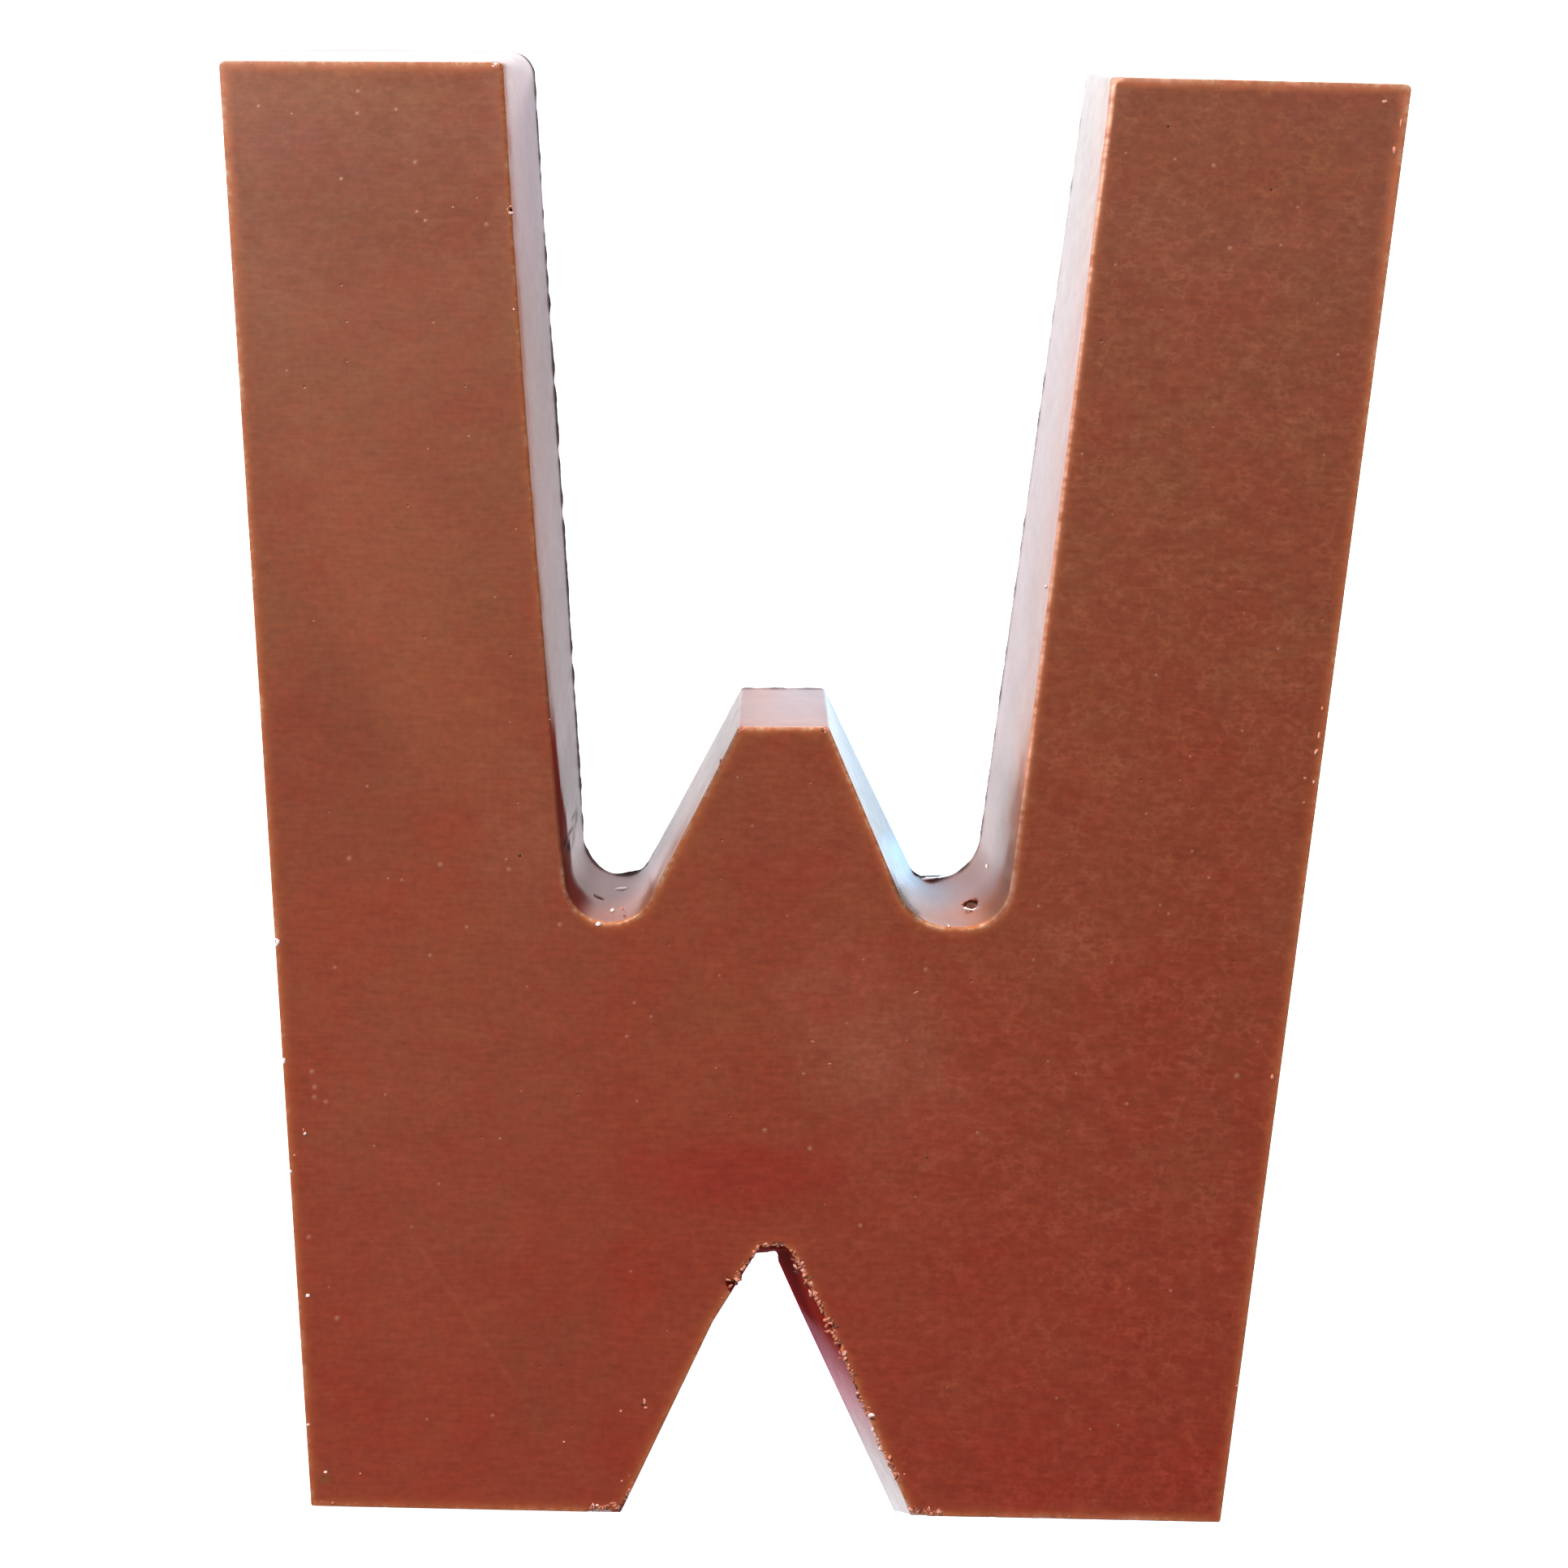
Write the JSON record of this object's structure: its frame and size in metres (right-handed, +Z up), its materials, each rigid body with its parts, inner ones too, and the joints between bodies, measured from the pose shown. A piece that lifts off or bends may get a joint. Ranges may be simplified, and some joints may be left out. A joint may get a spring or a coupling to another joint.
{
  "type": "chocolate letter",
  "caption": "Solid moulded milk-chocolate letter W lying on its back: straight outer stems, a short middle peak between two rounded bowls, a V notch below and leaning mould walls.",
  "frame": {"origin": "on the surface that the letter lies on, under the middle of its box", "axes": "+Z up through the smooth face, +Y towards the top of the letter, +X to the right of the letter as it is read"},
  "size_m": [0.1302, 0.162, 0.0135],
  "materials": {
    "milk_chocolate": "satin milk chocolate, glossy on the mould walls"
  },
  "bodies": {
    "root": {"chocolate_letter": "milk_chocolate"}
  },
  "joints": []
}
